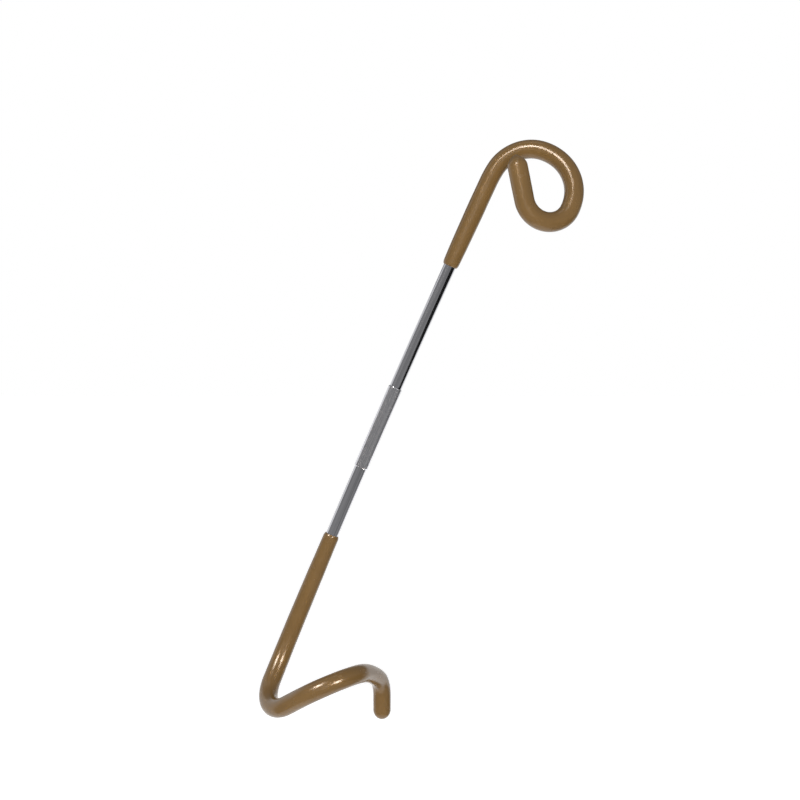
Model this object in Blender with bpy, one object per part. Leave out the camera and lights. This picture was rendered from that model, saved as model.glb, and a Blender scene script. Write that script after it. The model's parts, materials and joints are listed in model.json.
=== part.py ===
"""A pigtail hanging hook for an upright pole: one bent steel rod, dipped in soft plastic at both ends.

Metres, +Z up, seen from the front (-Y). The shank leans to the right in the XZ plane. Its upper end is
wound into an open eye that holds a lantern. Its lower end wraps the front of the pole and ends in
a straight drop behind it. The origin is on the pole's axis, at the height of the wrap's front.
"""

import math

import bmesh
import bpy
from mathutils import Matrix, Quaternion, Vector

MM = 0.001

# Steel rod
ROD_RADIUS = 3.0 * MM
ROD_END_CHAMFER = 0.6 * MM
SHANK_LEAN = math.radians(23.5)
SHANK_BOW_RADIUS = 5600 * MM
UPPER_SHANK = 127.3 * MM
LOWER_SHANK = 106.2 * MM

# Flat pressed into the middle of the shank, front and back
PANEL_LENGTH = 42.0 * MM
PANEL_WIDTH = 6.8 * MM
PANEL_THICKNESS = 5.0 * MM
PANEL_RAMP = 1.6 * MM

# Eye wound at the upper end, in the order of its bends
EYE_LEAD_RADIUS = 48.7 * MM
EYE_LEAD_TURN = math.radians(8.1)
EYE_TOP_RADIUS = 19.1 * MM
EYE_TOP_TURN = math.radians(79.9)
EYE_TOP_ROLL = math.radians(-15.2)
EYE_SIDE_RADIUS = 22.3 * MM
EYE_SIDE_TURN = math.radians(90.2)
EYE_SIDE_ROLL = math.radians(-14.5)
EYE_INNER_RADIUS = 11.7 * MM
EYE_INNER_TURN = math.radians(142.0)
EYE_INNER_ROLL = math.radians(-23.0)
EYE_END_RUN = 16.1 * MM

# Wrap round the pole at the lower end, in the order of its bends
HEEL_LEAD_RADIUS = 38.8 * MM
HEEL_LEAD_TURN = math.radians(39.0)
HEEL_RADIUS = 17.7 * MM
HEEL_TURN = math.radians(103.8)
HEEL_ROLL = math.radians(-27.3)
HEEL_RUN = 9.2 * MM
FRONT_RADIUS = 19.0 * MM
FRONT_TURN = math.radians(111.0)
FRONT_ROLL = math.radians(-46.3)
RISE_RADIUS = 78.9 * MM
RISE_TURN = math.radians(17.5)
RISE_ROLL = math.radians(-61.6)
DROP_RADIUS = 11.6 * MM
DROP_TURN = math.radians(61.4)
DROP_RUN = 7.0 * MM

# Dipped coatings: walls are measured from the rod's surface, tips from where the dome begins
COAT_CLEARANCE = 0.3 * MM
LIP_LENGTH = 2.0 * MM
UPPER_LIP_FROM_PANEL = 83.8 * MM
UPPER_LIP_WALL = 0.8 * MM
UPPER_BODY_WALL = 1.3 * MM
UPPER_END_WALL = 1.65 * MM
UPPER_BUILD_UP = 28.0 * MM
UPPER_TIP_HEIGHT = 5.6 * MM
UPPER_TIP_WALL = 3.2 * MM
UPPER_TIP_FULLNESS = 0.9
LOWER_LIP_FROM_PANEL = 56.1 * MM
LOWER_LIP_WALL = 0.75 * MM
LOWER_BODY_WALL = 1.47 * MM
LOWER_END_WALL = 1.23 * MM
LOWER_BUILD_UP = 110.0 * MM
LOWER_TIP_HEIGHT = 4.6 * MM
LOWER_TIP_WALL = 2.6 * MM
LOWER_TIP_FULLNESS = 0.5

# Fineness of the swept solids
SIDES = 20
BEND_STEP = math.radians(9.5)
RUN_STEPS = 9
TIP_STEPS = 5
LIP_STEPS = 4
SHARP_ANGLE = math.radians(35)

# Finishes
STEEL_COLOUR = (0.53, 0.53, 0.54)
STEEL_ROUGHNESS = 0.16
PLASTIC_COLOUR = (0.25, 0.147, 0.058)
PLASTIC_ROUGHNESS = 0.22
PLASTIC_GLOSS = 0.5

FRONT = Vector((0, -1, 0))
UP_THE_SHANK = Vector((math.sin(SHANK_LEAN), 0, math.cos(SHANK_LEAN)))


class Wire:
    """A rod's centreline, laid out as a wire bender works: roll about the rod's own axis, then bend.

    side is a direction across the rod that turns only with its bends, so that sections don't twist.
    """

    def __init__(self, heading, side, toward):
        self.point = Vector()
        self.heading = heading.copy()
        self.side = side.copy()
        self.toward = toward.copy()
        self.pieces = []
        self.length = 0.0

    def bend(self, radius, turn, roll=0.0):
        self.toward.rotate(Quaternion(self.heading, roll))
        self._add(radius * turn, 1 / radius, math.ceil(turn / BEND_STEP))

    def run(self, length, steps=1):
        self._add(length, 0.0, steps)

    def _add(self, length, curvature, steps):
        start = (self.point.copy(), self.heading.copy(), self.side.copy(), self.toward.copy())
        self.pieces.append((self.length, length, curvature, steps, start))
        self.point, self.heading, self.side, self.toward = self._along(self.pieces[-1], length)
        self.length += length

    @staticmethod
    def _along(piece, travel):
        curvature = piece[2]
        point, heading, side, toward = (vector.copy() for vector in piece[4])
        if not curvature:
            return point + heading * travel, heading, side, toward
        centre = point + toward / curvature
        turned = Quaternion(heading.cross(toward), travel * curvature)
        spoke = point - centre
        for vector in (spoke, heading, side, toward):
            vector.rotate(turned)
        return centre + spoke, heading, side, toward

    def at(self, distance):
        """Point, heading and side at a distance along the centreline."""
        piece = [piece for piece in self.pieces if piece[0] <= distance or not piece[0]][-1]
        return self._along(piece, distance - piece[0])[:3]

    def marks(self):
        """Distances at which a sweep needs a ring: evenly within each run and bend."""
        found = [0.0]
        for start, length, _, steps, _ in self.pieces:
            found += [start + length * (step + 1) / steps for step in range(steps)]
        return found


def smooth(share):
    """0 to 1 with level ends."""
    share = min(max(share, 0), 1)
    return share * share * (3 - 2 * share)


def upper_wire():
    across = Vector((math.cos(SHANK_LEAN), 0, -math.sin(SHANK_LEAN)))
    wire = Wire(UP_THE_SHANK, FRONT, across)
    wire.bend(SHANK_BOW_RADIUS, UPPER_SHANK / SHANK_BOW_RADIUS)
    wire.bend(EYE_LEAD_RADIUS, EYE_LEAD_TURN)
    wire.bend(EYE_TOP_RADIUS, EYE_TOP_TURN, EYE_TOP_ROLL)
    wire.bend(EYE_SIDE_RADIUS, EYE_SIDE_TURN, EYE_SIDE_ROLL)
    wire.bend(EYE_INNER_RADIUS, EYE_INNER_TURN, EYE_INNER_ROLL)
    wire.run(EYE_END_RUN, 2)
    return wire


def lower_wire():
    across = Vector((math.cos(SHANK_LEAN), 0, -math.sin(SHANK_LEAN)))
    wire = Wire(-UP_THE_SHANK, FRONT, across)
    wire.bend(SHANK_BOW_RADIUS, LOWER_SHANK / SHANK_BOW_RADIUS)
    wire.toward = FRONT.copy()
    wire.bend(HEEL_LEAD_RADIUS, HEEL_LEAD_TURN)
    wire.bend(HEEL_RADIUS, HEEL_TURN, HEEL_ROLL)
    wire.run(HEEL_RUN, 2)
    wire.bend(FRONT_RADIUS, FRONT_TURN, FRONT_ROLL)
    wire.bend(RISE_RADIUS, RISE_TURN, RISE_ROLL)
    wire.bend(DROP_RADIUS, DROP_TURN)
    wire.run(DROP_RUN)
    return wire


UPPER = upper_wire()
LOWER = lower_wire()


def pole_centre():
    """The middle of the wrap: between its heel and its drop, and between its front and the shank."""
    places = [LOWER.at(distance)[0] for distance in LOWER.marks()]
    foremost = min(places, key=lambda place: place.y)
    leftmost = min(places, key=lambda place: place.x)
    return Vector(((leftmost.x + places[-1].x) / 2, foremost.y / 2, foremost.z))


ORIGIN = pole_centre()


def upper_frame(distance):
    """Matrix at a distance up the rod from the panel's middle: X across, Y to the front, Z up the rod."""
    point, heading, side = UPPER.at(distance)
    return frame(point, heading, side)


def lower_frame(distance):
    """The same at a distance down the rod, still with Z up the rod."""
    point, heading, side = LOWER.at(distance)
    return frame(point, -heading, side)


def frame(point, heading, side):
    turned = Matrix((side.cross(heading), side, heading)).transposed().to_4x4()
    return Matrix.Translation(point - ORIGIN) @ turned


def ring(place, half_width, half_thickness):
    """A round section, cut flat front and back where it is thinner than it is wide."""
    points = []
    for index in range(SIDES):
        angle = math.tau * index / SIDES
        depth = half_width * math.sin(angle)
        depth = min(max(depth, -half_thickness), half_thickness)
        points.append(place @ Vector((half_width * math.cos(angle), depth, 0)))
    return points


def circle(place, radius):
    return ring(place, radius, radius)


def loft(name, rings, material):
    """One closed solid through rings of points. The first and the last ring are single points."""
    mesh = bmesh.new()
    loops = [[mesh.verts.new(point) for point in points] for points in rings]
    for loop, following in zip(loops, loops[1:]):
        for index in range(SIDES):
            after = (index + 1) % SIDES
            corners = [loop[index % len(loop)], loop[after % len(loop)]]
            corners += [following[after % len(following)], following[index % len(following)]]
            mesh.faces.new(dict.fromkeys(corners))
    bmesh.ops.recalc_face_normals(mesh, faces=mesh.faces)
    data = bpy.data.meshes.new(name)
    mesh.to_mesh(data)
    mesh.free()
    data.shade_smooth()
    data.set_sharp_from_angle(angle=SHARP_ANGLE)
    data.materials.append(material)
    piece = bpy.data.objects.new(name, data)
    bpy.context.scene.collection.objects.link(piece)
    return piece


def surface(name, colour, roughness, metallic=0.0, coat=0.0):
    material = bpy.data.materials.new(name)
    material.use_nodes = True
    shader = material.node_tree.nodes["Principled BSDF"]
    shader.inputs["Base Color"].default_value = (*colour, 1)
    shader.inputs["Metallic"].default_value = metallic
    shader.inputs["Roughness"].default_value = roughness
    shader.inputs["Coat Weight"].default_value = coat
    return material


def rod_half(wire, frame_of, tip_height, tip_wall, lip):
    """Rings of one half of the rod, from the panel's middle to its chamfered end."""
    end = wire.length + tip_height - tip_wall
    chamfer = end - ROD_END_CHAMFER
    panel_end = PANEL_LENGTH / 2
    flat_end = panel_end - PANEL_RAMP
    rings = [ring(frame_of(distance), PANEL_WIDTH / 2, PANEL_THICKNESS / 2) for distance in (0.0, flat_end)]
    coated = [distance for distance in wire.marks() if lip < distance < chamfer]
    rings += [circle(frame_of(distance), ROD_RADIUS) for distance in [panel_end, lip] + coated + [chamfer]]
    rings.append(circle(frame_of(end), ROD_RADIUS - ROD_END_CHAMFER))
    rings.append([frame_of(end).translation])
    return rings


def steel_rod():
    upward = rod_half(UPPER, upper_frame, UPPER_TIP_HEIGHT, UPPER_TIP_WALL, UPPER_LIP_FROM_PANEL)
    downward = rod_half(LOWER, lower_frame, LOWER_TIP_HEIGHT, LOWER_TIP_WALL, LOWER_LIP_FROM_PANEL)
    steel = surface("polished_steel", STEEL_COLOUR, STEEL_ROUGHNESS, metallic=1.0)
    return loft("steel_rod", downward[:0:-1] + upward, steel)


def coat_radius(travel, length, lip_wall, body_wall, end_wall, build_up):
    """Outer radius at a distance from the lip: it grows fast at first, then evens out to the end's wall."""
    gain = 1 - min(travel / build_up, 1)
    wall = body_wall - (body_wall - lip_wall) * gain * gain
    wall += (end_wall - body_wall) * smooth((travel - build_up) / (length - build_up))
    return ROD_RADIUS + wall


def coating(name, wire, frame_of, lip, walls, tip_height, tip_wall, fullness, material):
    """A dipped skin: a bore that opens at the lip, a rounded lip, a growing wall and a domed tip."""
    bore = ROD_RADIUS + COAT_CLEARANCE
    length = wire.length - lip
    bore_end = wire.length + tip_height - tip_wall + COAT_CLEARANCE
    stops = [distance for distance in wire.marks() if distance > lip + LIP_LENGTH]
    first = stops[0]
    lead = [lip + LIP_LENGTH + (first - lip - LIP_LENGTH) * step / RUN_STEPS for step in range(RUN_STEPS)]
    rings = [[frame_of(bore_end).translation]]
    rings += [circle(frame_of(bore_end), bore)]
    rings += [circle(frame_of(distance), bore) for distance in reversed(stops) if distance < bore_end]
    rings += [circle(frame_of(lip), bore)]
    for step in range(1, LIP_STEPS):
        angle = math.pi / 2 * step / LIP_STEPS
        travel = LIP_LENGTH * (1 - math.cos(angle))
        full = coat_radius(travel, length, *walls)
        rings.append(circle(frame_of(lip + travel), bore + (full - bore) * math.sin(angle)))
    for distance in lead + stops:
        rings.append(circle(frame_of(distance), coat_radius(distance - lip, length, *walls)))
    full = coat_radius(length, length, *walls)
    for step in range(1, TIP_STEPS):
        share = math.sin(math.pi / 2 * step / TIP_STEPS)
        place = frame_of(wire.length + tip_height * share)
        rings.append(circle(place, full * (1 - share * share) ** fullness))
    rings.append([frame_of(wire.length + tip_height).translation])
    return loft(name, rings, material)


def build():
    for item in list(bpy.data.objects):
        bpy.data.objects.remove(item)
    steel_rod()
    plastic = surface("sand_brown_plastic", PLASTIC_COLOUR, PLASTIC_ROUGHNESS, coat=PLASTIC_GLOSS)
    coating(
        "upper_coating", UPPER, upper_frame, UPPER_LIP_FROM_PANEL,
        (UPPER_LIP_WALL, UPPER_BODY_WALL, UPPER_END_WALL, UPPER_BUILD_UP),
        UPPER_TIP_HEIGHT, UPPER_TIP_WALL, UPPER_TIP_FULLNESS, plastic,
    )
    coating(
        "lower_coating", LOWER, lower_frame, LOWER_LIP_FROM_PANEL,
        (LOWER_LIP_WALL, LOWER_BODY_WALL, LOWER_END_WALL, LOWER_BUILD_UP),
        LOWER_TIP_HEIGHT, LOWER_TIP_WALL, LOWER_TIP_FULLNESS, plastic.copy(),
    )


build()
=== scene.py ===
"""Looks of the pigtail hanging hook: a drawn steel rod, dipped at both ends in sand-brown plastic.

Metres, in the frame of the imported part. Each visible piece is swept along the rod's own path.
"""

import json
import math
from collections import namedtuple

import bmesh
import bpy
from mathutils import Matrix, Quaternion, Vector, noise


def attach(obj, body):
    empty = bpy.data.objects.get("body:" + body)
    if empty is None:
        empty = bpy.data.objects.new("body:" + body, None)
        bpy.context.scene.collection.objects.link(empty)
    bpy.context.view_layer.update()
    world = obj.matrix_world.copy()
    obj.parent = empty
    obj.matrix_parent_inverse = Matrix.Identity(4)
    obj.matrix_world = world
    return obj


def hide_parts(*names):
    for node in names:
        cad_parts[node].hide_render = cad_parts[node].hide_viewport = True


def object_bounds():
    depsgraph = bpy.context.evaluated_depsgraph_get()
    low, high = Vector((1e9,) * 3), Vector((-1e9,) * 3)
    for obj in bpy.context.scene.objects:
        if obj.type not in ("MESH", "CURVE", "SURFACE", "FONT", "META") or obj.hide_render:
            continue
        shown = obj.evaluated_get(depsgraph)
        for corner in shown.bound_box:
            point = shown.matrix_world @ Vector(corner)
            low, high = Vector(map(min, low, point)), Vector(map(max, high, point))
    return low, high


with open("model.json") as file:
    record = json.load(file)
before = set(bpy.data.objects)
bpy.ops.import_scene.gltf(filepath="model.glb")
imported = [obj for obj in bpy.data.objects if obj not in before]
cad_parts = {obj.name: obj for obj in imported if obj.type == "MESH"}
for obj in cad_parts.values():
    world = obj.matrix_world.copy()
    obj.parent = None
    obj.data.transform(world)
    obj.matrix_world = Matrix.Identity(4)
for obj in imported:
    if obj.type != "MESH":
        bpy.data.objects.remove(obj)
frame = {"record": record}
CAD_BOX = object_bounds()

MM = 0.001

# The rod's path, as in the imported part
ROD_RADIUS = 3.0 * MM
ROD_END_CHAMFER = 0.6 * MM
SHANK_LEAN = math.radians(23.5)
SHANK_BOW_RADIUS = 5600 * MM
UPPER_SHANK = 127.3 * MM
LOWER_SHANK = 106.2 * MM
EYE_LEAD_RADIUS = 48.7 * MM
EYE_LEAD_TURN = math.radians(8.1)
EYE_TOP_RADIUS = 19.1 * MM
EYE_TOP_TURN = math.radians(79.9)
EYE_TOP_ROLL = math.radians(-15.2)
EYE_SIDE_RADIUS = 22.3 * MM
EYE_SIDE_TURN = math.radians(90.2)
EYE_SIDE_ROLL = math.radians(-14.5)
EYE_INNER_RADIUS = 11.7 * MM
EYE_INNER_TURN = math.radians(142.0)
EYE_INNER_ROLL = math.radians(-23.0)
EYE_END_RUN = 16.1 * MM
HEEL_LEAD_RADIUS = 38.8 * MM
HEEL_LEAD_TURN = math.radians(39.0)
HEEL_RADIUS = 17.7 * MM
HEEL_TURN = math.radians(103.8)
HEEL_ROLL = math.radians(-27.3)
HEEL_RUN = 9.2 * MM
FRONT_RADIUS = 19.0 * MM
FRONT_TURN = math.radians(111.0)
FRONT_ROLL = math.radians(-46.3)
RISE_RADIUS = 78.9 * MM
RISE_TURN = math.radians(17.5)
RISE_ROLL = math.radians(-61.6)
DROP_RADIUS = 11.6 * MM
DROP_TURN = math.radians(61.4)
DROP_RUN = 7.0 * MM

# Pressed panel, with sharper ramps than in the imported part
PANEL_LENGTH = 42.0 * MM
PANEL_WIDTH = 6.8 * MM
PANEL_THICKNESS = 5.0 * MM
PANEL_RAMP = 0.6 * MM
PANEL_EDGE = 0.3 * MM

# Dipped coatings. Walls are at the lip, on the body and at the tip
COAT_GRIP = 0.02 * MM
LIP_LENGTH = 2.0 * MM
UPPER_LIP_FROM_PANEL = 83.8 * MM
UPPER_WALLS = (0.8 * MM, 1.3 * MM, 1.65 * MM)
UPPER_BUILD_UP = 28.0 * MM
UPPER_TIP_HEIGHT = 5.6 * MM
UPPER_TIP_WALL = 3.2 * MM
UPPER_TIP_FULLNESS = 0.9
LOWER_LIP_FROM_PANEL = 56.1 * MM
LOWER_WALLS = (0.75 * MM, 1.47 * MM, 1.23 * MM)
LOWER_BUILD_UP = 110.0 * MM
LOWER_TIP_HEIGHT = 4.6 * MM
LOWER_TIP_WALL = 2.6 * MM
LOWER_TIP_FULLNESS = 0.5
WAVE_HEIGHT = 0.05 * MM
WAVE_LENGTH = 9.0 * MM
UPPER_WAVE_SEED = 0
LOWER_WAVE_SEED = 5

# Fineness of the meshes
SIDES = 64
STEP = 0.6 * MM
HIDDEN_STEP = 3.0 * MM
RAMP_STEP = 0.05 * MM
LIP_STEPS = 12
TIP_STEPS = 14

# Plastic: shares are of its own colour, scales are of noise on the unbent rod
PLASTIC = (0.24, 0.137, 0.0465)
PLASTIC_IOR = 1.48
PLASTIC_ROUGHNESS = (0.2, 0.28)
PLASTIC_ROUGHNESS_SCALE = 260.0
DRIFT_SHARES = (0.94, 1.05)
DRIFT_SCALE = 70.0
MOTTLE_SHARE = 0.85
MOTTLE_AMOUNT = 0.25
MOTTLE_SCALE = 900.0
MOTTLE_DETAIL = 3.0
SWELL_HEIGHT = 0.008 * MM
SWELL_SCALE = 180.0
SWELL_DETAIL = 1.0
PEEL_HEIGHT = 0.0006 * MM
PEEL_SCALE = 1400.0

# Steel: lines are noise that is drawn out along the rod
STEEL = (0.59, 0.59, 0.62)
STEEL_ROUGHNESS = (0.1, 0.18)
PRESSED_ROUGHNESS = 0.11
BAND_SHARES = (0.84, 1.14)
BAND_SCALE = 1100.0
BAND_DRAWN = 0.01
LINE_HEIGHT = 0.003 * MM
LINE_SCALE = 1700.0
LINE_DRAWN = 0.012
LINE_DETAIL = 4.0
LINE_ROUGHNESS = 0.6
GRAIN_SHARE = 1.38
GRAIN_AMOUNT = 0.5
GRAIN_HEIGHT = 0.002 * MM
GRAIN_SCALE = 2600.0
GRAIN_DETAIL = 3.0

# The part of a noise's range that a look is spread over
SOFT = (0.3, 0.7)
SHARP = (0.4, 0.6)
PLAIN_DETAIL = 2.0
PLAIN_ROUGHNESS = 0.5

# Stage: angles in degrees, seen from the panel
FLOOR_DROP = 0.35
FLOOR_HALF = 6.0
FLOOR_PAINT = 0.8
FLOOR_ROUGHNESS = 0.9
FLOOR_GLOW = 0.8
AMBIENT = 0.2
ROOM_RADIUS = 1.15
ROOM_LEFT = -94
ROOM_RIGHT = 119
ROOM_RIGHT_ABOVE = 240
ROOM_WIDENS = 25
ROOM_LOW = -60
ROOM_HIGH = 80
ROOM_ROWS = 20
ROOM_COLUMNS = 30
ROOM_OFF_FLOOR = 0.01
ROOM_GREY = 0.26
FLAG_GREY = 0.01
FLAG_DISTANCE = 0.5
FLAG_RIGHT = 105
FLAG_COLUMNS = 6
FLAG_LEFT_AT_HEIGHTS = ((38, 0.10), (42, 0.0), (52, -0.05), (72, -0.16), (100, -0.22))

# Lamps
FILL_DISTANCE = 1.1
FILL_SIZE = (0.6, 0.6)
KEY_DISTANCE = 0.45
PANEL_LAMP_DISTANCE = 0.3
WARM = (1.0, 0.9, 0.8)
WHITE = (1.0, 1.0, 1.0)
EYE_MIDDLE = Vector((0.095, 0.01, 0.225))
WRAP_MIDDLE = Vector((0, 0, 0))

# Camera
CAMERA_DISTANCE = 0.7
CAMERA_TILT = math.radians(5)
CAMERA_NEAR = 0.01
PIXELS_PER_METRE = 2100
IMAGE_WIDTH = 800
SENSOR = 36.0
AIM = Vector((0.01049, 0, 0.01313))

FRONT = Vector((0, -1, 0))
UP_THE_SHANK = Vector((math.sin(SHANK_LEAN), 0, math.cos(SHANK_LEAN)))
ACROSS = Vector((math.cos(SHANK_LEAN), 0, -math.sin(SHANK_LEAN)))


def panel_middle():
    """Middle of the pressed panel, from the mount on its front flat."""
    mounts = {mount["name"]: mount for mount in frame["record"]["mounts"]}
    return Vector(mounts["panel_flat"]["pos_m"]) - FRONT * PANEL_THICKNESS / 2


PANEL_MIDDLE = panel_middle()
FLOOR_HEIGHT = CAD_BOX[0][2] - FLOOR_DROP


def steps(low, high, count):
    """Even values from low to high, both among them."""
    return [low + (high - low) * index / count for index in range(count + 1)]


def spaced(start, end, step):
    """Even distances about a step apart, from start up to, and not at, the end."""
    return steps(start, end, max(1, round((end - start) / step)))[:-1]


def smooth(share):
    """From 0 to 1 with a level start and end."""
    share = min(max(share, 0), 1)
    return share * share * (3 - 2 * share)


class Wire:
    """Half of the rod's centreline, from the panel's middle: arcs and straight runs.

    way is 1 up the shank and -1 down it. side turns only with the bends.
    """

    def __init__(self, way):
        self.way = way
        self.point = PANEL_MIDDLE.copy()
        self.heading = UP_THE_SHANK * way
        self.side = FRONT.copy()
        self.toward = ACROSS.copy()
        self.pieces = []
        self.length = 0.0

    def bend(self, radius, turn, roll=0.0):
        self.toward.rotate(Quaternion(self.heading, roll))
        self._add(radius * turn, 1 / radius)

    def run(self, length):
        self._add(length, 0.0)

    def _add(self, length, curvature):
        start = (self.point.copy(), self.heading.copy(), self.side.copy(), self.toward.copy())
        piece = (self.length, curvature, start)
        self.pieces.append(piece)
        self.point, self.heading, self.side, self.toward = self._along(piece, length)
        self.length += length

    @staticmethod
    def _along(piece, travel):
        curvature = piece[1]
        point, heading, side, toward = (vector.copy() for vector in piece[2])
        if not curvature:
            return point + heading * travel, heading, side, toward
        centre = point + toward / curvature
        turned = Quaternion(heading.cross(toward), travel * curvature)
        spoke = point - centre
        for vector in (spoke, heading, side, toward):
            vector.rotate(turned)
        return centre + spoke, heading, side, toward

    def place(self, distance):
        """Matrix at a distance along the wire: X across, Y to the front, Z up the rod."""
        piece = [piece for piece in self.pieces if piece[0] <= distance or not piece[0]][-1]
        point, heading, side = self._along(piece, distance - piece[0])[:3]
        up = heading * self.way
        turned = Matrix((side.cross(up), side, up)).transposed().to_4x4()
        return Matrix.Translation(point) @ turned


def upper_wire():
    wire = Wire(1)
    wire.bend(SHANK_BOW_RADIUS, UPPER_SHANK / SHANK_BOW_RADIUS)
    wire.bend(EYE_LEAD_RADIUS, EYE_LEAD_TURN)
    wire.bend(EYE_TOP_RADIUS, EYE_TOP_TURN, EYE_TOP_ROLL)
    wire.bend(EYE_SIDE_RADIUS, EYE_SIDE_TURN, EYE_SIDE_ROLL)
    wire.bend(EYE_INNER_RADIUS, EYE_INNER_TURN, EYE_INNER_ROLL)
    wire.run(EYE_END_RUN)
    return wire


def lower_wire():
    wire = Wire(-1)
    wire.bend(SHANK_BOW_RADIUS, LOWER_SHANK / SHANK_BOW_RADIUS)
    wire.toward = FRONT.copy()
    wire.bend(HEEL_LEAD_RADIUS, HEEL_LEAD_TURN)
    wire.bend(HEEL_RADIUS, HEEL_TURN, HEEL_ROLL)
    wire.run(HEEL_RUN)
    wire.bend(FRONT_RADIUS, FRONT_TURN, FRONT_ROLL)
    wire.bend(RISE_RADIUS, RISE_TURN, RISE_ROLL)
    wire.bend(DROP_RADIUS, DROP_TURN)
    wire.run(DROP_RUN)
    return wire


Coat = namedtuple("Coat", "name wire lip walls build_up tip_height tip_wall tip_fullness seed")

UPPER = Coat(
    name="upper_coating_dipped",
    wire=upper_wire(),
    lip=UPPER_LIP_FROM_PANEL,
    walls=UPPER_WALLS,
    build_up=UPPER_BUILD_UP,
    tip_height=UPPER_TIP_HEIGHT,
    tip_wall=UPPER_TIP_WALL,
    tip_fullness=UPPER_TIP_FULLNESS,
    seed=UPPER_WAVE_SEED,
)
LOWER = Coat(
    name="lower_coating_dipped",
    wire=lower_wire(),
    lip=LOWER_LIP_FROM_PANEL,
    walls=LOWER_WALLS,
    build_up=LOWER_BUILD_UP,
    tip_height=LOWER_TIP_HEIGHT,
    tip_wall=LOWER_TIP_WALL,
    tip_fullness=LOWER_TIP_FULLNESS,
    seed=LOWER_WAVE_SEED,
)


def linked(name, mesh):
    """An object of a finished bmesh, linked into the scene."""
    data = bpy.data.meshes.new(name)
    mesh.to_mesh(data)
    mesh.free()
    piece = bpy.data.objects.new(name, data)
    bpy.context.scene.collection.objects.link(piece)
    return piece


def loft(name, rings):
    """A closed solid through rings of (flatness, points, the same points on the unbent rod).

    A ring of one point closes an end. The place on the unbent rod and how far it is pressed
    flat are kept for the materials.
    """
    mesh = bmesh.new()
    straight = mesh.verts.layers.float_vector.new("straight")
    pressed = mesh.verts.layers.float.new("pressed")
    loops = []
    for flatness, points, unbent in rings:
        loop = []
        for point, place in zip(points, unbent):
            vertex = mesh.verts.new(point)
            vertex[straight] = place
            vertex[pressed] = flatness
            loop.append(vertex)
        loops.append(loop)
    for loop, following in zip(loops, loops[1:]):
        for index in range(SIDES):
            after = (index + 1) % SIDES
            corners = [loop[index % len(loop)], loop[after % len(loop)]]
            corners += [following[after % len(following)], following[index % len(following)]]
            mesh.faces.new(dict.fromkeys(corners))
    bmesh.ops.recalc_face_normals(mesh, faces=mesh.faces)
    piece = linked(name, mesh)
    piece.data.shade_smooth()
    return piece


def section(wire, distance, outline, way=1, flatness=0.0):
    """One ring: outline is a list of (across, deep), and way says which way the rod counts up."""
    place = wire.place(distance)
    points = [place @ Vector((across, deep, 0)) for across, deep in outline]
    return flatness, points, [Vector((across, deep, way * distance)) for across, deep in outline]


def round_outline(radius):
    turns = [math.tau * index / SIDES for index in range(SIDES)]
    return [(radius * math.cos(turn), radius * math.sin(turn)) for turn in turns]


def wavy_outline(radius, along, seed):
    """A dipped skin's outline, which is never quite round."""
    outline = []
    for across, deep in round_outline(radius):
        wave = noise.noise(Vector((across, deep, along)) / WAVE_LENGTH + Vector((seed, 0, 0)))
        share = 1 + WAVE_HEIGHT * wave / radius
        outline.append((across * share, deep * share))
    return outline


def softly_cut(depth, half, edge):
    """Depth, cut off at half with a rounded edge. With no edge it isn't cut."""
    if not edge:
        return depth
    blend = max(edge - abs(half - depth), 0) / edge
    return min(depth, half) - blend * blend * edge / 4


def rod_outline(distance):
    """The rod's outline and its flatness at a distance from the panel's middle."""
    ramp = (distance - PANEL_LENGTH / 2 + PANEL_RAMP) / PANEL_RAMP
    flatness = 1 - smooth(ramp)
    half_width = ROD_RADIUS + (PANEL_WIDTH / 2 - ROD_RADIUS) * flatness
    half_depth = ROD_RADIUS + (PANEL_THICKNESS / 2 - ROD_RADIUS) * flatness
    outline = []
    for across, deep in round_outline(half_width):
        cut = softly_cut(abs(deep), half_depth, PANEL_EDGE * flatness)
        outline.append((across, math.copysign(cut, deep)))
    return outline, flatness


def rod_half(coat):
    """Rings of the rod from the panel's middle to its end in a coating."""
    wire = coat.wire
    end = wire.length + coat.tip_height - coat.tip_wall
    chamfer = end - ROD_END_CHAMFER
    ramp = PANEL_LENGTH / 2 - PANEL_RAMP
    hidden = coat.lip + LIP_LENGTH
    stations = spaced(0.0, ramp, STEP)
    stations += spaced(ramp, PANEL_LENGTH / 2, RAMP_STEP)
    stations += spaced(PANEL_LENGTH / 2, hidden, STEP)
    stations += spaced(hidden, chamfer, HIDDEN_STEP) + [chamfer]
    rings = []
    for distance in stations:
        outline, flatness = rod_outline(distance)
        rings.append(section(wire, distance, outline, wire.way, flatness))
    for outline in (round_outline(ROD_RADIUS - ROD_END_CHAMFER), [(0, 0)]):
        rings.append(section(wire, end, outline, wire.way))
    return rings


def steel_rod():
    return loft("steel_rod_drawn", rod_half(LOWER)[:0:-1] + rod_half(UPPER))


def coat_radius(coat, travel):
    """Outer radius of a coating at a distance past its lip."""
    lip_wall, body_wall, end_wall = coat.walls
    length = coat.wire.length - coat.lip
    gain = 1 - min(travel / coat.build_up, 1)
    wall = body_wall - (body_wall - lip_wall) * gain * gain
    wall += (end_wall - body_wall) * smooth((travel - coat.build_up) / (length - coat.build_up))
    return ROD_RADIUS + wall


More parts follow.
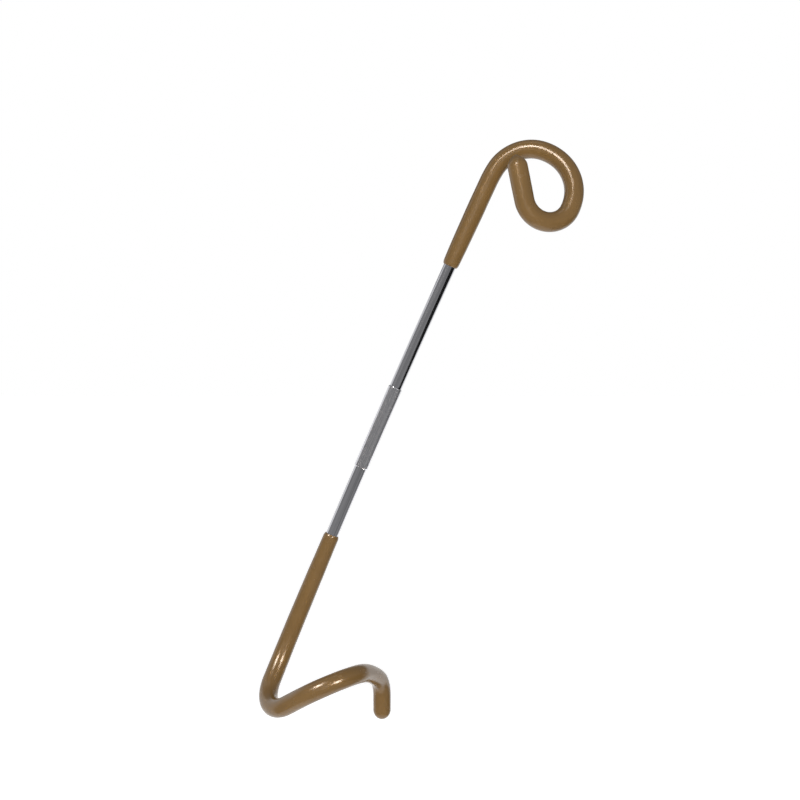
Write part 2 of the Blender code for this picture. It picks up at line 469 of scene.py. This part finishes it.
def coating(coat):
    """A dipped skin from its rounded lip to its domed tip, with a bore that grips the rod."""
    wire = coat.wire
    bore = ROD_RADIUS + COAT_GRIP
    bore_end = wire.length + coat.tip_height - coat.tip_wall + COAT_GRIP
    rings = [section(wire, bore_end, [(0, 0)])]
    for distance in [bore_end] + spaced(coat.lip, bore_end, HIDDEN_STEP)[::-1]:
        rings.append(section(wire, distance, round_outline(bore)))

    def add_skin(distance, radius):
        rings.append(section(wire, distance, wavy_outline(radius, distance, coat.seed)))

    for step in range(1, LIP_STEPS):
        angle = math.pi / 2 * step / LIP_STEPS
        travel = LIP_LENGTH * (1 - math.cos(angle))
        add_skin(coat.lip + travel, bore + (coat_radius(coat, travel) - bore) * math.sin(angle))
    for distance in spaced(coat.lip + LIP_LENGTH, wire.length, STEP):
        add_skin(distance, coat_radius(coat, distance - coat.lip))
    full = coat_radius(coat, wire.length - coat.lip)
    for step in range(TIP_STEPS):
        share = math.sin(math.pi / 2 * step / TIP_STEPS)
        radius = full * (1 - share * share) ** coat.tip_fullness
        add_skin(wire.length + coat.tip_height * share, radius)
    rings.append(section(wire, wire.length + coat.tip_height, [(0, 0)]))
    return loft(coat.name, rings)


def put(tree, socket, value):
    """Link a socket to another node's output, or set its value."""
    if isinstance(value, bpy.types.NodeSocket):
        tree.links.new(value, socket)
    else:
        socket.default_value = value


def combined(tree, operation, first, second):
    """A Math node's result."""
    node = tree.nodes.new("ShaderNodeMath")
    node.operation = operation
    put(tree, node.inputs[0], first)
    put(tree, node.inputs[1], second)
    return node.outputs[0]


def socket_of(sockets, name, kind):
    """The socket of that name and type. A Mix node has several of each name."""
    return next(socket for socket in sockets if (socket.name, socket.type) == (name, kind))


class Nodes:
    """A short way to write a material's node tree."""

    def __init__(self, name):
        self.material = bpy.data.materials.new(name)
        self.material.use_nodes = True
        self.tree = self.material.node_tree
        self.shader = self.tree.nodes["Principled BSDF"]

    def add(self, kind, settings=None, **values):
        node = self.tree.nodes.new(kind)
        for name, value in (settings or {}).items():
            setattr(node, name, value)
        for name, value in values.items():
            put(self.tree, node.inputs[name.replace("_", " ")], value)
        return node

    def attribute(self, name):
        return self.add("ShaderNodeAttribute", {"attribute_name": name})

    def straight(self, drawn=1.0):
        """Place on the unbent rod. A small drawn draws a pattern out along it."""
        stretched = self.add("ShaderNodeVectorMath", {"operation": "MULTIPLY"})
        put(self.tree, stretched.inputs[0], self.attribute("straight").outputs["Vector"])
        put(self.tree, stretched.inputs[1], (1.0, 1.0, drawn))
        return stretched.outputs["Vector"]

    def speckle(self, place, scale, detail=PLAIN_DETAIL, roughness=PLAIN_ROUGHNESS):
        node = self.add(
            "ShaderNodeTexNoise", Vector=place, Scale=scale, Detail=detail, Roughness=roughness
        )
        return node.outputs["Fac"]

    def spread(self, value, low, high, over=SOFT):
        """From low to high where a noise goes through a range."""
        node = self.add(
            "ShaderNodeMapRange",
            Value=value, From_Min=over[0], From_Max=over[1], To_Min=low, To_Max=high,
        )
        return node.outputs["Result"]

    def blended(self, share, first, second):
        """Colour from first to second."""
        node = self.add("ShaderNodeMix", {"data_type": "RGBA"})
        put(self.tree, socket_of(node.inputs, "Factor", "VALUE"), share)
        put(self.tree, socket_of(node.inputs, "A", "RGBA"), first)
        put(self.tree, socket_of(node.inputs, "B", "RGBA"), second)
        return socket_of(node.outputs, "Result", "RGBA")

    def bump(self, height, distance, normal=None):
        node = self.add("ShaderNodeBump", Height=height, Distance=distance, Strength=1.0)
        if normal:
            put(self.tree, node.inputs["Normal"], normal)
        return node.outputs["Normal"]

    def shade(self, name, value):
        """Set the shader's own socket."""
        put(self.tree, self.shader.inputs[name], value)


def scaled(colour, share):
    return (*(channel * share for channel in colour), 1)


def dipped_plastic(name):
    """Glossy soft plastic: a slow drift of colour, mottling, uneven gloss and orange peel."""
    nodes = Nodes(name)
    place = nodes.straight()
    drift = nodes.spread(nodes.speckle(place, DRIFT_SCALE), 0.0, 1.0)
    dark, light = (scaled(PLASTIC, share) for share in DRIFT_SHARES)
    colour = nodes.blended(drift, dark, light)
    mottle = nodes.speckle(place, MOTTLE_SCALE, MOTTLE_DETAIL)
    amount = nodes.spread(mottle, 0.0, MOTTLE_AMOUNT)
    nodes.shade("Base Color", nodes.blended(amount, colour, scaled(PLASTIC, MOTTLE_SHARE)))
    gloss = nodes.speckle(place, PLASTIC_ROUGHNESS_SCALE)
    nodes.shade("Roughness", nodes.spread(gloss, *PLASTIC_ROUGHNESS))
    nodes.shade("IOR", PLASTIC_IOR)
    swell = nodes.bump(nodes.speckle(place, SWELL_SCALE, SWELL_DETAIL), SWELL_HEIGHT)
    nodes.shade("Normal", nodes.bump(nodes.speckle(place, PEEL_SCALE), PEEL_HEIGHT, swell))
    return nodes.material


def drawn_steel():
    """Polished wire: lines and bands down the rod, and a duller, lighter grain on the panel."""
    nodes = Nodes("drawn_steel")
    pressed = nodes.attribute("pressed").outputs["Fac"]
    lines = nodes.speckle(nodes.straight(LINE_DRAWN), LINE_SCALE, LINE_DETAIL, LINE_ROUGHNESS)
    bands = nodes.speckle(nodes.straight(BAND_DRAWN), BAND_SCALE)
    grain = nodes.speckle(nodes.straight(), GRAIN_SCALE, GRAIN_DETAIL)
    dark, light = (scaled(STEEL, share) for share in BAND_SHARES)
    colour = nodes.blended(nodes.spread(bands, 0.0, 1.0, SHARP), dark, light)
    specks = nodes.spread(grain, 0.0, GRAIN_AMOUNT, SHARP)
    specks = combined(nodes.tree, "MULTIPLY", specks, pressed)
    nodes.shade("Base Color", nodes.blended(specks, colour, scaled(STEEL, GRAIN_SHARE)))
    nodes.shade("Metallic", 1.0)
    dull = combined(nodes.tree, "MULTIPLY", pressed, PRESSED_ROUGHNESS)
    gloss = nodes.spread(lines, *STEEL_ROUGHNESS)
    nodes.shade("Roughness", combined(nodes.tree, "ADD", gloss, dull))
    nodes.shade("Normal", nodes.bump(grain, GRAIN_HEIGHT, nodes.bump(lines, LINE_HEIGHT)))
    return nodes.material


def dress(piece, material, node):
    piece.data.materials.append(material)
    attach(piece, "root")
    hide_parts(node)


def card(name, rows, material):
    """A flat or curved studio card through rows of points."""
    mesh = bmesh.new()
    verts = [[mesh.verts.new(point) for point in row] for row in rows]
    for row, following in zip(verts, verts[1:]):
        for index in range(len(row) - 1):
            corners = (row[index], row[index + 1], following[index + 1], following[index])
            mesh.faces.new(corners)
    piece = linked(name, mesh)
    piece.data.materials.append(material)
    return piece


def reflected_card(name, rows, grey):
    """A card that glows in a plain grey and is seen only in reflections."""
    material = bpy.data.materials.new(name)
    material.use_nodes = True
    tree = material.node_tree
    tree.nodes.remove(tree.nodes["Principled BSDF"])
    glow = tree.nodes.new("ShaderNodeEmission")
    glow.inputs["Color"].default_value = (grey, grey, grey, 1)
    tree.links.new(glow.outputs[0], tree.nodes["Material Output"].inputs["Surface"])
    piece = card(name, rows, material)
    piece.visible_camera = False
    piece.visible_diffuse = False
    piece.visible_transmission = False
    piece.visible_volume_scatter = False
    piece.visible_shadow = False


def toward(azimuth, elevation):
    """A direction, in degrees: azimuth 0 is to the viewer and grows to the viewer's right."""
    azimuth, elevation = math.radians(azimuth), math.radians(elevation)
    level = math.cos(elevation)
    return Vector((math.sin(azimuth) * level, -math.cos(azimuth) * level, math.sin(elevation)))


def room():
    """The dim studio round the viewer and overhead, which runs out over the floor below."""
    clear = PANEL_MIDDLE.z - FLOOR_HEIGHT - ROOM_OFF_FLOOR
    rows = []
    for elevation in steps(ROOM_LOW, ROOM_HIGH, ROOM_ROWS):
        reach = ROOM_RADIUS
        if elevation < 0:
            reach = min(reach, clear / math.sin(math.radians(-elevation)))
        widened = (ROOM_RIGHT_ABOVE - ROOM_RIGHT) * smooth(elevation / ROOM_WIDENS)
        around = steps(ROOM_LEFT, ROOM_RIGHT + widened, ROOM_COLUMNS)
        rows.append([PANEL_MIDDLE + toward(azimuth, elevation) * reach for azimuth in around])
    reflected_card("dim_room", rows, ROOM_GREY)


def flag():
    """A black flag to the right, which draws the dark line down the rod's right side."""
    rows = []
    for left, height in FLAG_LEFT_AT_HEIGHTS:
        middle = Vector((PANEL_MIDDLE.x, PANEL_MIDDLE.y, height))
        around = steps(left, FLAG_RIGHT, FLAG_COLUMNS)
        rows.append([middle + toward(azimuth, 0) * FLAG_DISTANCE for azimuth in around])
    reflected_card("black_flag", rows, FLAG_GREY)


def seen_directly(tree, strength):
    """A strength for the rays that show the background: camera, glossy and transmission."""
    path = tree.nodes.new("ShaderNodeLightPath")
    seen = path.outputs["Is Camera Ray"]
    for name in ("Is Glossy Ray", "Is Transmission Ray"):
        seen = combined(tree, "MAXIMUM", seen, path.outputs[name])
    return combined(tree, "MULTIPLY", seen, strength)


def floor():
    """Pale paint that keeps the shadow, with a glow that makes it white where it is seen."""
    ends = (-FLOOR_HALF, FLOOR_HALF)
    rows = [[Vector((x, y, FLOOR_HEIGHT)) for x in ends] for y in ends]
    nodes = Nodes("pale_floor")
    nodes.shade("Base Color", (FLOOR_PAINT, FLOOR_PAINT, FLOOR_PAINT, 1))
    nodes.shade("Roughness", FLOOR_ROUGHNESS)
    nodes.shade("Emission Color", (1, 1, 1, 1))
    nodes.shade("Emission Strength", seen_directly(nodes.tree, FLOOR_GLOW))
    card("floor", rows, nodes.material)


def surroundings():
    """White where it is seen or mirrored, and a plain level for the light that it gives."""
    world = bpy.data.worlds.new("studio")
    world.use_nodes = True
    bpy.context.scene.world = world
    tree = world.node_tree
    background = tree.nodes["Background"]
    background.inputs["Color"].default_value = (1, 1, 1, 1)
    level = combined(tree, "ADD", seen_directly(tree, 1 - AMBIENT), AMBIENT)
    put(tree, background.inputs["Strength"], level)


def lamp(name, middle, direction, distance, size, energy):
    """A soft lamp that faces middle from a direction in degrees."""
    light = bpy.data.lights.new(name, "AREA")
    light.shape = "RECTANGLE"
    light.size, light.size_y = size
    light.energy = energy
    away = toward(*direction) * distance
    piece = bpy.data.objects.new(name, light)
    piece.location = middle + away
    piece.rotation_euler = (-away).to_track_quat("-Z", "Y").to_euler()
    piece.visible_camera = False
    bpy.context.scene.collection.objects.link(piece)
    return piece


def fill(name, direction, share):
    """Soft light on the whole hook. share 1 shows a surface that faces it in its own colour."""
    energy = share * (math.pi * FILL_DISTANCE) ** 2
    piece = lamp(name, PANEL_MIDDLE, direction, FILL_DISTANCE, FILL_SIZE, energy)
    piece.visible_glossy = False


def highlight(name, middle, direction, size, radiance, grid, tilt=0, colour=WARM,
              distance=KEY_DISTANCE):
    """A softbox that is seen only in reflections, and only by what it faces.

    grid is the angle of its light and tilt leans its top to the right, both in degrees.
    radiance is what it shows from straight in front.
    """
    half = math.radians(grid) / 2
    gathered = math.tan(half) / (math.tan(half) - half)
    energy = radiance / gathered * math.pi * size[0] * size[1]
    piece = lamp(name, middle, direction, distance, size, energy)
    piece.rotation_euler.rotate_axis("Z", -math.radians(tilt))
    piece.data.color = colour
    piece.data.spread = 2 * half
    piece.visible_diffuse = False


def camera():
    """The photograph's view."""
    data = bpy.data.cameras.new("camera")
    data.sensor_width = SENSOR
    data.lens = PIXELS_PER_METRE * CAMERA_DISTANCE / IMAGE_WIDTH * SENSOR
    data.clip_start = CAMERA_NEAR
    piece = bpy.data.objects.new("camera", data)
    back = Vector((0, -math.cos(CAMERA_TILT), math.sin(CAMERA_TILT)))
    piece.location = PANEL_MIDDLE + AIM + back * CAMERA_DISTANCE
    piece.rotation_euler = (math.pi / 2 - CAMERA_TILT, 0, 0)
    bpy.context.scene.collection.objects.link(piece)
    bpy.context.scene.camera = piece


dress(steel_rod(), drawn_steel(), "steel_rod")
dress(coating(UPPER), dipped_plastic("upper_plastic"), "upper_coating")
dress(coating(LOWER), dipped_plastic("lower_plastic"), "lower_coating")

room()
flag()
floor()
surroundings()
fill("front", direction=(0, 8), share=0.65)
fill("upper_right", direction=(50, 40), share=0.05)
fill("left", direction=(-75, 5), share=0.1)
fill("behind", direction=(180, 15), share=0.5)
highlight(
    "eye_key", EYE_MIDDLE, direction=(-22, 34), size=(0.13, 0.19), radiance=52, grid=25, tilt=36
)
highlight("wrap_key", WRAP_MIDDLE, direction=(-35, 45), size=(0.3, 0.2), radiance=66, grid=24)
highlight("wrap_second", WRAP_MIDDLE, direction=(35, 20), size=(0.3, 0.2), radiance=64, grid=24)
highlight(
    "panel_above", PANEL_MIDDLE, direction=(-10, 62), size=(0.18, 0.08), radiance=20, grid=16,
    colour=WHITE, distance=PANEL_LAMP_DISTANCE,
)
camera()
bpy.context.scene.view_settings.view_transform = "Standard"

bpy.context.view_layer.update()
